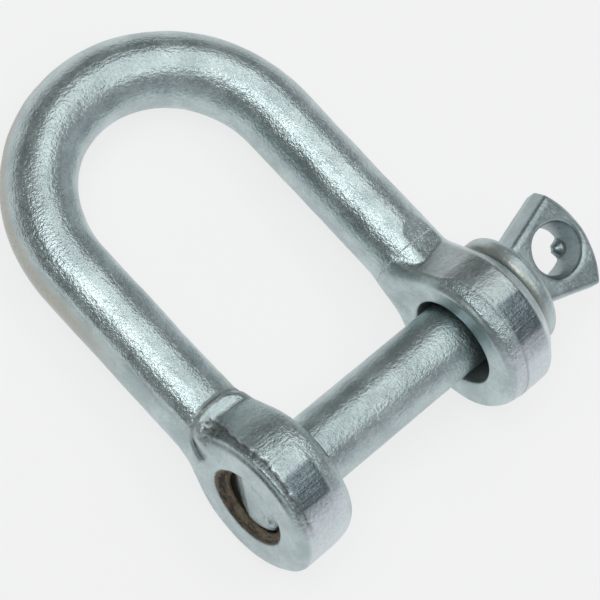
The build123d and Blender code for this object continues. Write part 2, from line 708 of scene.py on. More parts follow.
@dataclass(frozen=True)
class BowSizes:
    """The bow's sizes in millimetres, from the pin's middle."""

    bar_radius: float = 5.0
    leg_offset: float = 17.9
    leg_length: float = 36.7
    bow_shift: float = -0.35
    clear_hole_radius: float = 6.3
    clear_hole_sag: float = 0.6
    tapped_hole_radius: float = 4.75
    tapped_mouth_radius: float = 5.75
    thread_pitch: float = 1.5
    thread_wave: float = 0.3
    neck_corner: float = 1.7
    neck_reach: float = 15.0
    neck_taper: float = 0.6
    neck_taper_end: float = 12.3
    tapped_bar_start: float = 12.55
    tapped_outer_drop: float = 4.95
    tapped_inner_drop: float = 3.0
    clear_bar_start: float = 8.4
    clear_inner_drop: float = 1.5
    clear_inner_rise: float = 0.3
    ridge_x: float = 16.3
    ridge_height: float = 4.84
    facet_tilt: float = 0.24
    facet_end: float = 13.5
    facet_climb: float = 0.5
    near_ears: float = 18.0
    detail_end: float = 13.8
    drop_power: float = 1.5
    ridge_run: float = 3.8
    bar_end_low: float = 1.2
    bar_end_high: float = 3.2
    climb_edge: float = 0.5
    facet_edge: float = 0.2
    bar_end_edge: float = 0.3
    inner_end_edge: float = 1.7
    neck_edge: float = 0.5
    mouth_edge: float = 0.2
    hole_edge: float = 0.55
    ear_fill: float = 0.35
    bar_fill: float = 0.3
    corner_fill: float = 2.0
    ragged_depth: float = 2.0
    ragged_size: float = 1.2


@dataclass
class Bow:
    """The forged bow with its necks and ears."""

    setting: Setting
    sizes: BowSizes
    ears: tuple[Ear, Ear]
    voxel: float = 0.44

    def beside(self, bow: Points) -> Values:
        """Distance outwards from the bar's middle line, in the bow's plane.

        Args:
            bow: Places in the bow's own plane.

        Returns:
            One value for each point.
        """
        s = self.sizes
        x, y, _ = bow.T
        from_middle = x - s.bow_shift
        leg = np.abs(from_middle)
        return np.where(y < s.leg_length, leg, np.hypot(from_middle, y - s.leg_length)) - s.leg_offset

    def bar_end(self, bow: Points) -> Values:
        """How far from the pin the bar's surface ends at each neck.

        Args:
            bow: Places in the bow's own plane.

        Returns:
            One value for each point.
        """
        s = self.sizes
        x, _, z = bow.T
        beside = self.beside(bow)
        share = np.abs(z) / np.maximum(np.hypot(beside, z), 0.1)
        drop = np.where(beside > 0, s.tapped_outer_drop, s.tapped_inner_drop)
        tapped = s.tapped_bar_start - drop * np.maximum(1 - share, 0) ** s.drop_power
        inner = np.clip((s.ridge_x - x) / s.ridge_run, 0, 1)
        high = rise(np.abs(z), s.bar_end_low, s.bar_end_high)
        clear = s.clear_bar_start + inner * (s.clear_inner_rise * (1 - high) - s.clear_inner_drop * high)
        return np.where(x < 0, tapped, clear)

    def bar(self, bow: Points) -> Values:
        """Distance to the bent bar, with its ends and the clear neck's facet.

        Args:
            bow: Places in the bow's own plane.

        Returns:
            One value for each point.
        """
        s = self.sizes
        x, y, z = bow.T
        around = np.hypot(self.beside(bow), z) - s.bar_radius
        past = y - s.facet_end
        climb = s.facet_climb * (past + np.hypot(past, s.climb_edge)) / 2
        facet = np.abs(z) - s.ridge_height + s.facet_tilt * (x - s.ridge_x) - climb
        faceted = soft_max(around, np.where(x > 0, facet, -s.bar_radius), s.facet_edge)
        rounding = s.bar_end_edge + s.inner_end_edge * rise(x, 11.0, 12.0) * rise(x, 16.0, 14.5)
        return soft_max(faceted, self.bar_end(bow) - y, rounding)

    def tapped_neck(self, bow: Points) -> Values:
        """Distance to the flattened neck between the bar and the tapped ear.

        Args:
            bow: Places in the bow's own plane.

        Returns:
            One value for each point.
        """
        s, ear = self.sizes, self.ears[0].sizes
        x, y, z = bow.T
        half = ear.thickness / 2
        across = np.abs(-x - ear.jaw - half) - half + s.neck_corner
        up = np.abs(z) - ear.neck_height + s.neck_corner
        section = np.hypot(np.maximum(across, 0), np.maximum(up, 0)) + np.minimum(np.maximum(across, up), 0)
        along = np.abs(y - s.neck_reach / 2) - s.neck_reach / 2
        taper = s.neck_taper * np.maximum(s.neck_taper_end - y, 0)
        around = np.hypot(self.beside(bow), z) - s.bar_radius - taper
        return greatest((section - s.neck_corner, along, around), s.neck_edge)

    def thread_phase(self, seen: Points) -> Values:
        """The tapped thread's phase in radians, 0 on its crests."""
        x, y, z = seen.T
        return 2 * math.pi * x / self.sizes.thread_pitch - np.arctan2(z, y)

    def holes(self, seen: Points) -> Values:
        """Distance to the empty space in the nearer ear's hole. The tapped one has its thread.

        Args:
            seen: Places from the pin's middle.

        Returns:
            One value for each point.
        """
        s, outer = self.sizes, self.ears[0].sizes.outer
        x, y, z = seen.T
        radius = np.hypot(y, z)
        wall = radius - s.tapped_hole_radius + s.thread_wave * np.cos(self.thread_phase(seen))
        mouth = radius - s.tapped_mouth_radius + np.maximum(x + outer, 0)
        tapped = soft_min(wall, mouth, s.mouth_edge)
        clear = np.hypot(y + s.clear_hole_sag, z) - s.clear_hole_radius
        return np.where(x < 0, tapped, clear)

    def field(self, points: Points) -> Values:
        """Distance to the whole forging.

        Args:
            points: Places in the row's frame.

        Returns:
            One value for each point.
        """
        s = self.sizes
        bow = self.setting.in_bow(points)
        found = self.bar(bow)
        near = bow[:, 1] < s.near_ears
        bow, bar = bow[near], found[near]
        seen = self.setting.about_pin(points[near])
        left = bow[:, 0] < 0
        drum = np.where(left, self.ears[0].drum(bow), self.ears[1].drum(bow))
        body = np.where(left, soft_min(drum, self.tapped_neck(bow), s.ear_fill), drum)
        fill = s.bar_fill + s.corner_fill * rise(bow[:, 0], 15.4, 13.6) * np.where(left, 0.0, 1.0)
        solid = soft_min(body, bar, fill)
        found[near] = soft_max(solid, -self.holes(seen), s.hole_edge)
        return found

    def in_detail(self, points: Points) -> np.ndarray:
        """Where the mesh is refined: at the ears and the necks, up to a ragged edge that doesn't show.

        Args:
            points: Places in the row's frame.

        Returns:
            Yes or no for each point.
        """
        s = self.sizes
        ragged = s.ragged_depth * cloud(points, s.ragged_size, 1)
        return self.setting.in_bow(points)[:, 1] + ragged < s.detail_end


@dataclass(frozen=True)
class BowSurface:
    """The forging's unevenness; where it is dirty, brown, rusty, smooth or scored; and where shade and a
    reflection are painted.
    """

    bow: Bow
    flash_angles: tuple[float, ...] = (25, 40, 58, 68, 83, 96, 110, 124, 180)
    flash_starts: tuple[float, ...] = (19.6, 20.0, 20.8, 20.6, 20.5, 20.7, 21.0, 20.6, 20.8)
    flash_end: float = 21.5
    flash_drop: float = 0.26
    flash_jag: float = 0.3
    crumb_height: float = 0.10
    rough_height: float = 0.05
    ridge_height: float = 0.07
    face_groove_depth: float = 0.16
    neck_groove_depth: float = 0.09
    scar_roughness: float = 0.28
    scar_depth: float = 0.12
    ear_lumps: float = 0.03
    bar_lumps: float = 0.05
    lump_size: float = 7.0
    skin_height: float = 0.016
    skin_size: float = 1.6
    fine_size: float = 0.6

    def flash(self, bow: Points, seen: Points) -> tuple[Values, Values, Values]:
        """The strip that the trimmed flash leaves round the tapped ear.

        Args:
            bow: Points in the bow's plane.
            seen: The same points from the pin's middle.

        Returns:
            The height of the step and its crumbs, the strip's mask, and the mask of the step's dark foot.
        """
        ear = self.bow.ears[0]
        u, y, z = ear.seen(bow)
        out = ear.reach(y, z)
        angle = ear.angle(y, z)
        jagged = self.flash_jag * cloud(np.stack((0 * u, y, z), 1), 2.0, 3, seed=4.1)
        start = np.interp(angle, self.flash_angles, self.flash_starts) + jagged
        around = rise(out, 9.6, 10.0) * rise(out, 11.4, 11.0) * rise(angle, 20, 32) * rise(angle, 150, 128)
        side = np.where(u > 0, 1.0, 0.0) * np.where(seen[:, 2] > 0, 1.0, 0.6)
        strip = around * side * rise(u, start, start + 0.18) * rise(u, self.flash_end + 0.6, self.flash_end)
        line = around * side * bump(u, start + 0.3, 0.2)
        crumbs = self.crumb_height * cloud(seen, 0.8, 3, seed=2.2)
        return strip * (crumbs - self.flash_drop), strip, line

    def face_groove(self, bow: Points) -> Values:
        """Mask of the dark line round the tapped ear's outer face.

        Args:
            bow: Places in the bow's own plane.

        Returns:
            One value for each point.
        """
        ear = self.bow.ears[0]
        u, y, z = ear.seen(bow)
        out = ear.reach(y, z)
        angle = ear.angle(y, z)
        on_top = rise(z, 0.5, 3.0) * rise(angle, 20, 35) * rise(angle, 140, 110)
        return bump(u, ear.sizes.outer - 0.3, 0.5) * bump(out, ear.sizes.face_radius + 0.3, 0.32) * on_top

    def neck_groove(self, bow: Points) -> Values:
        """Mask of the groove where the tapped neck meets the bar.

        Args:
            bow: Places in the bow's own plane.

        Returns:
            One value for each point.
        """
        x, y, z = bow.T
        end = self.bow.bar_end(bow)
        return bump(y, end - 0.2, 0.4) * rise(-x, 13.0, 13.6) * rise(y, 8.6, 10.0) * rise(z, 0.5, 2.5)

    def scar(self, bow: Points) -> Values:
        """Mask of the crumbled patch on the outer side of the tapped neck."""
        x, y, z = bow.T
        return rise(-x, 18.8, 20.2) * bump(y, 9.6, 1.8) * rise(z, 2.4, 3.8)

    def shoulder(self, bow: Points) -> tuple[Values, Values, Values]:
        """Masks of the clear ear's crumbled shoulder and of its main band, and the crease between them.

        Args:
            bow: Places in the bow's own plane.

        Returns:
            Three values for each point.
        """
        ear = self.bow.ears[1]
        u, y, z = ear.seen(bow)
        inward = u - ear.sizes.jaw
        crease = ear.crease(y, z)
        out = ear.reach(y, z)
        on = rise(out, ear.sizes.inner_face_radius - 0.1, ear.sizes.rim_radius) * rise(out, 11.6, 11.0)
        on *= rise(y, 11.5, 10.0)
        rough = on * rise(inward, 0.75, 1.05) * rise(inward, crease + 0.05, crease - 0.2)
        ridge = on * (bump(inward, crease + 0.28, 0.16) - bump(inward, crease, 0.14))
        return rough, on * rise(inward, crease, crease + 0.2) * np.where(u > 0, 1.0, 0.0), ridge

    def height(self, points: Points) -> Values:
        """The height of all the unevenness.

        Args:
            points: Places in the row's frame.

        Returns:
            One value for each point.
        """
        seen = self.bow.setting.about_pin(points)
        bow = self.bow.setting.in_bow(points)
        y = bow[:, 1]
        on_bar = rise(y, 10.0, 16.0)
        total = (self.ear_lumps + self.bar_lumps * on_bar) * cloud(points, self.lump_size, 2)
        total += self.skin_height * cloud(points, self.skin_size, 3, seed=7.3)
        near = y < self.bow.sizes.near_ears
        bow, seen, close = bow[near], seen[near], points[near]
        fine = cloud(close, self.fine_size, 2, seed=6.6)
        rough, _, ridge = self.shoulder(bow)
        step, _, _ = self.flash(bow, seen)
        extra = step + self.rough_height * rough * fine + self.ridge_height * ridge
        extra -= self.face_groove_depth * self.face_groove(bow)
        extra += self.scar(bow) * (self.scar_roughness * fine - self.scar_depth)
        extra -= self.neck_groove_depth * self.neck_groove(bow)
        total[near] += extra
        return total

    def masks(self, points: Points) -> dict[str, Values]:
        """How strongly each kind of finish, painted shade and painted reflection shows at each point, by its
        attribute's name.

        Args:
            points: Places in the row's frame.

        Returns:
            The masks, each with one value of 0 to 1 for each point.
        """
        setting, sizes = self.bow.setting, self.bow.sizes
        bow, seen = setting.in_bow(points), setting.about_pin(points)
        x, y, z = bow.T
        tapped, clear = self.bow.ears
        u, *clear_place = clear.seen(bow)
        angle = clear.angle(*clear_place)
        _, *tapped_place = tapped.seen(bow)
        tapped_angle = tapped.angle(*tapped_place)
        radius = np.hypot(seen[:, 1], seen[:, 2])
        near_ear = rise(y, 12.5, 10.5)
        _, strip, line = self.flash(bow, seen)
        rough, band, ridge = self.shoulder(bow)
        hole_out = np.hypot(seen[:, 1] + sizes.clear_hole_sag, seen[:, 2])
        in_clear = rise(hole_out, sizes.clear_hole_radius + 0.35, sizes.clear_hole_radius)
        in_clear *= rise(u, 13.5, 14.2)
        in_tapped = rise(radius, sizes.tapped_mouth_radius + 0.12, sizes.tapped_mouth_radius - 0.05)
        in_tapped *= rise(-x, 13.4, 14.2)
        ridges = in_tapped * rise(np.cos(self.bow.thread_phase(seen)), 0.0, -0.8)
        stain = bump(x, -13.4, 0.9) * bump(y, 11.2, 2.2) * rise(z, 0.0, 2.0)
        beside = self.bow.beside(bow)
        outer_rim = rise(beside, 4.2, 4.9) * rise(y, 20.0, 34.0) * rise(x, 6.0, -6.0) * rise(z, -2.0, 0.5)
        # Real dirt on the scar, in the clear hole and on the stain, with painted shade at the flash step's dark
        # foot and along the clear ear's crease; the neck groove and the tapped thread's roots are darkened too
        dirt_and_shade = 0.6 * line + 0.35 * self.neck_groove(bow) + 0.4 * self.scar(bow)
        dirt_and_shade += 0.65 * in_clear + 0.5 * ridges + 0.5 * stain + 0.3 * np.maximum(-ridge, 0)
        tapped_band = rise(-x, 16.0, 16.4) * rise(-x, 21.0, 20.4)
        off_middle = np.abs(x)
        on_band = rise(off_middle, tapped.sizes.outer - 0.5, tapped.sizes.outer - 1.2)
        on_band *= rise(off_middle, 14.0, 15.0)
        hatch = band * rise(angle, 92, 98) * rise(angle, 150, 136) * rise(clear.sizes.outer - u, 1.8, 2.1)
        scored = 0.45 + 0.55 * rise(tapped_angle, 92, 98)
        hatch += near_ear * tapped_band * scored * rise(tapped_angle, 128, 124)
        shade = 0.8 * strip + 0.9 * self.face_groove(bow) + 0.3 * rough
        shade += np.clip(hatch, 0, 1) * np.where(x > 0, rise(angle, 92, 98), rise(tapped_angle, 97, 101))
        plain = 0.6 * band * rise(angle, 104, 84)
        plain += 0.5 * near_ear * tapped_band * rise(tapped_angle, 60, 50)
        plain += rise(angle, 128, 142) * near_ear + rise(-x, tapped.sizes.outer - 0.4, tapped.sizes.outer)
        plain += near_ear * rise(x, 12.0, 13.0) * rise(x, 14.4, 14.0)
        return {
            "dirt_and_shade": np.clip(dirt_and_shade, 0, 1),
            "rust": np.clip(in_tapped, 0, 1),
            "warm": np.clip(0.2 * band * rise(angle, 108, 84) + 0.9 * outer_rim + 0.5 * stain, 0, 1),
            "plain": np.clip(plain, 0, 1),
            "hatch": np.clip(hatch, 0, 1),
            "rough": np.clip(rough + 0.5 * strip, 0, 1),
            "shade": np.clip(shade, 0, 1),
            # Painted reflection: lightens the ears' undersides, which face the floor
            "pale": near_ear * rise(np.where(x > 0, angle, tapped_angle), 124, 132) * on_band,
        }

    def calm(self, points: Points) -> Values:
        """Mask of the corner where the clear ear's inner face meets the bar, where creases are not darkened."""
        x, y, _ = self.bow.setting.in_bow(points).T
        return rise(x, 11.0, 12.0) * rise(x, 15.5, 14.0) * rise(y, 5.5, 7.5)

    def grain(self, points: Points) -> Points:
        """Places squeezed along the bar and the ears' bands, so that noise makes streaks there.

        Args:
            points: Places in the row's frame.

        Returns:
            One place for each point.
        """
        s = self.bow.sizes
        bow = self.bow.setting.in_bow(points)
        x, y, z = bow.T
        from_middle = x - s.bow_shift
        up = y - s.leg_length
        angle = np.arctan2(from_middle, np.maximum(up, 0))
        along = s.leg_offset * angle + np.sign(from_middle) * np.maximum(-up, 0)
        bar = np.stack((0.15 * along, self.bow.beside(bow), z), 1)
        ear = np.stack((0.1 * x, y, z), 1)
        thread = np.stack((x, 0.2 * y, 0.2 * z), 1)
        seen = self.bow.setting.about_pin(points)
        in_hole = (x < 0) & (np.hypot(seen[:, 1], seen[:, 2]) < s.tapped_mouth_radius + 0.1)
        return np.where(in_hole[:, None], thread, np.where((y < 12.0)[:, None], ear, bar))

    def build(self) -> bpy.types.Object:
        """Makes the forging's mesh.

        Returns:
            The object.
        """
        body = Sculpture("bow_forging", "shackle_body", self.bow.voxel, self.bow.field)
        body.settle(3)
        body.refine(self.bow.in_detail)
        body.settle(3)
        before = places(body.mesh)
        body.emboss(self.height)
        body.store("hollow", body.hollows() * (1 - self.calm(before)))
        for name, mask in self.masks(before).items():
            body.store(name, mask)
        body.store("grain", self.grain(before))
        body.mesh.shade_smooth()
        return body.piece


# The screw pin


@dataclass(frozen=True)
class PinSizes:
    """The screw pin's sizes in millimetres, from its middle."""

    shank_radius: float = 4.85
    core_radius: float = 3.95
    tip: float = -21.4
    tip_radius: float = 4.4
    tip_length: float = 0.9
    bevel_start: float = 1.3
    bevel_slope: float = 0.32
    bevel_towards: tuple[float, float] = (0.84, -0.54)
    thread_end: float = -11.9
    tip_nub: tuple[float, float] = (-3.1, 0.2)
    tip_nub_radius: float = 0.95
    tip_nub_depth: float = 0.1
    tip_nub_length: float = 0.6
    tip_pits: tuple[tuple[float, float], ...] = ((-2.85, -0.4), (-3.25, 0.8))
    tip_pit_spread: float = 0.06
    tip_pit_depth: float = 0.25
    tip_edge: float = 0.35
    lead_edge: float = 0.4
    shank_edge: float = 0.5
    core_fill: float = 0.3
    end_fill: float = 0.15
    collar_start: float = 22.8
    collar_thickness: float = 3.0
    collar_radius: float = 8.0
    collar_edge: float = 1.2
    tab_length: float = 12.2
    tab_root: float = 4.4
    tab_end: float = 7.5
    tab_end_radius: float = 13.0
    tab_offset: float = 0.5
    tab_half_thickness: float = 2.8
    tab_inset: float = 0.56
    eye_along: float = 7.0
    eye_across: float = 0.3
    eye_radius: float = 3.4
    nub_turn: float = math.radians(-27.0)
    eye_narrowing: float = 0.4
    nub_level: float = -2.2
    nub_radius: float = 1.75
    nub_height: float = 1.2
    tab_turn: float = math.radians(18.5)
    thread_pitch: float = 1.5
    thread_fade: float = 0.4


@dataclass
class ScrewPin:
    """The pin with its threaded tip, collar and eye head."""

    setting: Setting
    sizes: PinSizes
    voxel: float = 0.2

    def in_tab(self, seen: Points) -> Points:
        """Points in the tab's own frame: x from the collar, y across the tab, z through it.

        Args:
            seen: Places from the pin's middle.

        Returns:
            The same points, seen so.
        """
        s = self.sizes
        x, y, z = seen.T
        c, t = math.cos(s.tab_turn), math.sin(s.tab_turn)
        along = x - s.collar_start - s.collar_thickness
        return np.stack((along, c * y + t * z - s.tab_offset, c * z - t * y), 1)

    def tip_nub(self, seen: Points) -> Values:
        """Distance to the small nub that the forging left on the pin's end.

        Args:
            seen: Places from the pin's middle.

        Returns:
            One value for each point.
        """
        s = self.sizes
        x, y, z = seen.T
        nub_y, nub_z = s.tip_nub
        along = (x - s.tip - s.tip_nub_depth) / s.tip_nub_length
        return np.sqrt(along**2 + (y - nub_y) ** 2 + (z - nub_z) ** 2) - s.tip_nub_radius

    def pits(self, seen: Points) -> Values:
        """Mask of the two pits in that nub, all along the pin.

        Args:
            seen: Places from the pin's middle.

        Returns:
            One value for each point.
        """
        _, y, z = seen.T
        s = self.sizes
        return sum(np.exp(-((y - py) ** 2 + (z - pz) ** 2) / s.tip_pit_spread) for py, pz in s.tip_pits)

    def shank(self, seen: Points) -> Values:
        """Distance to the shank and its threaded tip's core, with its bevelled end.

        Args:
            seen: Places from the pin's middle.

        Returns:
            One value for each point.
        """
        s = self.sizes
        x, y, z = seen.T
        radius = np.hypot(y, z)
        towards_y, towards_z = s.bevel_towards
        lower = towards_y * y + towards_z * z - s.bevel_start
        end = s.tip + s.bevel_slope * np.maximum(lower, 0)
        full = soft_max(radius - s.shank_radius, s.thread_end - x, s.shank_edge)
        core = radius - s.core_radius
        lead = soft_max(radius - s.tip_radius, x - s.tip - s.tip_length, s.lead_edge)
        rod = soft_min(soft_min(full, core, s.core_fill), lead, s.end_fill)
        rod = soft_min(soft_max(rod, end - x, s.tip_edge), self.tip_nub(seen), s.end_fill)
        return np.maximum(rod, x - s.collar_start - s.collar_thickness / 2)

    def collar(self, seen: Points) -> Values:
        """Distance to the collar.

        Args:
            seen: Places from the pin's middle.

        Returns:
            One value for each point.
        """
        s = self.sizes
        x, y, z = seen.T
        half = s.collar_thickness / 2
        along = np.abs(x - s.collar_start - half) - half + s.collar_edge
        out = np.hypot(y, z) - s.collar_radius + s.collar_edge
        corner = np.hypot(np.maximum(along, 0), np.maximum(out, 0))
        return corner + np.minimum(np.maximum(along, out), 0) - s.collar_edge

    def tab(self, seen: Points) -> Values:
        """Distance to the flat head, which is drawn in from its parting plane to both faces.

        Args:
            seen: Places from the pin's middle.

        Returns:
            One value for each point.
        """
        s = self.sizes
        x, y, z = self.in_tab(seen).T
        draft = s.tab_inset * np.abs(z) / s.tab_half_thickness
        corner = s.tab_length - (s.tab_end_radius - math.sqrt(s.tab_end_radius**2 - s.tab_end**2))
        slope = (s.tab_end - s.tab_root) / corner
        sides = (np.abs(y) - s.tab_root - slope * x) / math.hypot(1, slope) + draft
        end = np.hypot(x - s.tab_length + s.tab_end_radius, y) - s.tab_end_radius + draft
        outline = soft_max(sides, soft_max(end, -x - 1.5, 0.3), 0.3)
        side_round = 0.6 + 0.3 * rise(y, 0.0, 2.0)
        face = np.abs(z) - s.tab_half_thickness + 0.5 * rise(x, 4.0, s.tab_length) * rise(-z, 0.0, 1.0)
        share = np.clip(0.5 + 0.5 * (outline - face) / side_round, 0, 1)
        return face + (outline - face) * share + side_round * share * (1 - share)

    def eye(self, tab: Points) -> Values:
        """Distance to the empty space in the eye, with its wide mouth and its narrower back.

        Args:
            tab: Places in the tab's own frame.

        Returns:
            One value for each point.
        """
        s = self.sizes
        x, y, z = tab.T
        dx, dy = x - s.eye_along, y - s.eye_across
        far_side = rise(dx, -2.4, 0.8)
        entry = (0.15 + 0.45 * rise(-dx, -1.0, 3.0)) * rise(np.abs(z), 1.0, s.tab_half_thickness)
        narrowing = s.eye_narrowing * far_side * rise(-z, -1.6, 1.4)
        return np.hypot(dx, dy) - s.eye_radius - entry * (1 - far_side * rise(-z, -0.5, 0.5)) + narrowing

    def swollen(self, points: Points) -> Points:
        """Points of the pin's surface, with the eye's wall swollen by the lump that the punch left.

        Args:
            points: Places in the row's frame.

        Returns:
            The moved points.
        """
        s = self.sizes
        x, y, z = self.in_tab(self.setting.about_pin(points)).T
        dx, dy = x - s.eye_along, y - s.eye_across
        away = np.hypot(dx, dy)
        around = np.arctan2(dy, dx) - s.nub_turn
        from_nub = np.hypot(s.eye_radius * around, z - s.nub_level) / s.nub_radius
        lift = s.nub_height * rise(from_nub, 1.0, 0.4) * rise(away, s.eye_radius + 1.5, s.eye_radius + 0.3)
        lift = np.where(x > s.eye_along, lift / np.maximum(away, 1.0), 0)
        c, t = math.cos(s.tab_turn), math.sin(s.tab_turn)
        return points - np.stack((lift * dx, lift * dy * c, lift * dy * t), 1)

    def field(self, points: Points) -> Values:
        """Distance to the whole pin.

        Args:
            points: Places in the row's frame.

        Returns:
            One value for each point.
        """
        seen = self.setting.about_pin(points)
        tab = self.in_tab(seen)
        head = soft_min(self.collar(seen), self.tab(seen), 0.9)
        solid = soft_min(self.shank(seen), head, 0.3)
        return soft_max(solid, -self.eye(tab), 0.6)

    def height(self, points: Points) -> Values:
        """The pin's unevenness, with the two pits in the nub on its end.

        Args:
            points: Places in the row's frame.

        Returns:
            One value for each point.
        """
        s = self.sizes
        seen = self.setting.about_pin(points)
        general = 0.03 * cloud(points, 6.0, 2, seed=3.1) + 0.01 * cloud(points, 1.3, 3, seed=9.7)
        return general - s.tip_pit_depth * rise(seen[:, 0], s.tip + 0.5, s.tip) * self.pits(seen)

    def masks(self, points: Points) -> dict[str, Values]:
        """How strongly each kind of finish, painted shade and painted reflection shows at each point, by its
        attribute's name.

        Args:
            points: Places in the row's frame.

        Returns:
            The masks, each with one value of 0 to 1 for each point.
        """
        s = self.sizes
        seen = self.setting.about_pin(points)
        x, y, z = seen.T
        tx, ty, tz = self.in_tab(seen).T
        radius = np.hypot(y, z)
        at_end = rise(x, s.tip + 0.5, s.tip + 0.2)
        # Painted shadow: a dark crescent round the nub on the pin's end, where it meets the hole's wall
        nub_shadow = at_end * bump(np.hypot(y - s.tip_nub[0], z - s.tip_nub[1]), 1.25, 0.25) * rise(-y, 3.0, 3.8)
        collar = rise(x, 22.5, 22.7) * rise(x, 25.9, 25.7) * rise(radius, 6.0, 7.4)
        corner = rise(tx, 3.0, 6.0) * rise(np.abs(tz), 1.6, 2.4)
        near_eye = np.hypot(tx - s.eye_along, ty - s.eye_across)
        scored = corner * rise(near_eye, s.eye_radius + 0.3, s.eye_radius + 1.2)
        scored *= rise(np.abs(ty), 2.4, 4.0)
        in_eye = rise(tx, 2.0, 2.6) * rise(near_eye, s.eye_radius + 0.5, s.eye_radius + 0.1)
        in_ear = rise(x, 14.5, 17.0) * rise(x, 22.6, 22.0)
        from_nub = np.hypot(tx - s.eye_along - 2.2, ty - s.eye_across + 1.4)
        # Painted shade: the dark crease round the eye's nub
        nub_line = bump(from_nub, 0.9, 0.2) * rise(tz, -0.6, -1.2)
        # Dark pits on the pin's end, with a painted shadow round its nub and a painted dark crease beside the
        # eye's nub; the shank inside the clear ear is darkened too
        dirt_and_shade = 0.9 * at_end * self.pits(seen) + 0.5 * nub_shadow + 0.55 * in_ear + 0.25 * nub_line
        return {
            "dirt_and_shade": np.clip(dirt_and_shade, 0, 1),
            "rust": 0 * x,
            "warm": np.clip(0.7 * collar * rise(x, 24.4, 23.2), 0, 1),
            "plain": np.clip(0.7 * collar + at_end + 0.6 * rise(tx, 0.5, 2.0), 0, 1),
            "hatch": np.clip(scored, 0, 1),
            "rough": 0 * x,
            "pale": 0 * x,
            "shade": np.clip(0.22 * rise(tx, 1.0, 3.0) + 0.25 * scored + 0.3 * in_eye, 0, 1),
        }

    def grain(self, points: Points) -> Points:
        """Places squeezed along the pin, or across the tab, so that noise makes streaks there.

        Args:
            points: Places in the row's frame.

        Returns:
            One place for each point.
        """
        seen = self.setting.about_pin(points)
        tab = self.in_tab(seen)
        head = np.stack((tab[:, 0] + 0.5 * tab[:, 1], 0.12 * tab[:, 1], 0.3 * tab[:, 2]), 1)
        shank = np.stack((0.25 * seen[:, 0], seen[:, 1], seen[:, 2]), 1)
        return np.where((tab[:, 0] > 0.3)[:, None], head, shank)

    def build(self) -> bpy.types.Object:
        """Makes the pin's mesh.

        Returns:
            The object.
        """
        pin = Sculpture("pin_forging", "screw_pin", self.voxel, self.field)
        pin.settle(4)
        before = places(pin.mesh)
        move_to(pin.mesh, self.swollen(before))
        pin.emboss(self.height)
        pin.store("hollow", pin.hollows())
        for name, mask in self.masks(before).items():
            pin.store(name, mask)
        pin.store("grain", self.grain(before))
        pin.mesh.shade_smooth()
        return pin.piece

    def thread(self, material: bpy.types.Material) -> bpy.types.Object:
        """Winds the thread onto the pin's core.

        Args:
            material: Its finish.

        Returns:
            The object.
        """
        s = self.sizes
        # From a whole number of pitches, the ridge's corners keep one phase with the tapped thread's, but its
        # broad crest meets that thread's crests: the two cut into each other inside the ear
        first = math.ceil((s.tip + s.tip_length) / s.thread_pitch) * s.thread_pitch
        turns = (s.thread_end - s.thread_fade - first) / s.thread_pitch
        ridge = Thread(s.core_radius - 0.05, s.shank_radius, s.thread_pitch, turns)
        return ridge.wind("pin_thread", self.setting.pin_centre + Vector((first, 0, 0)), material)


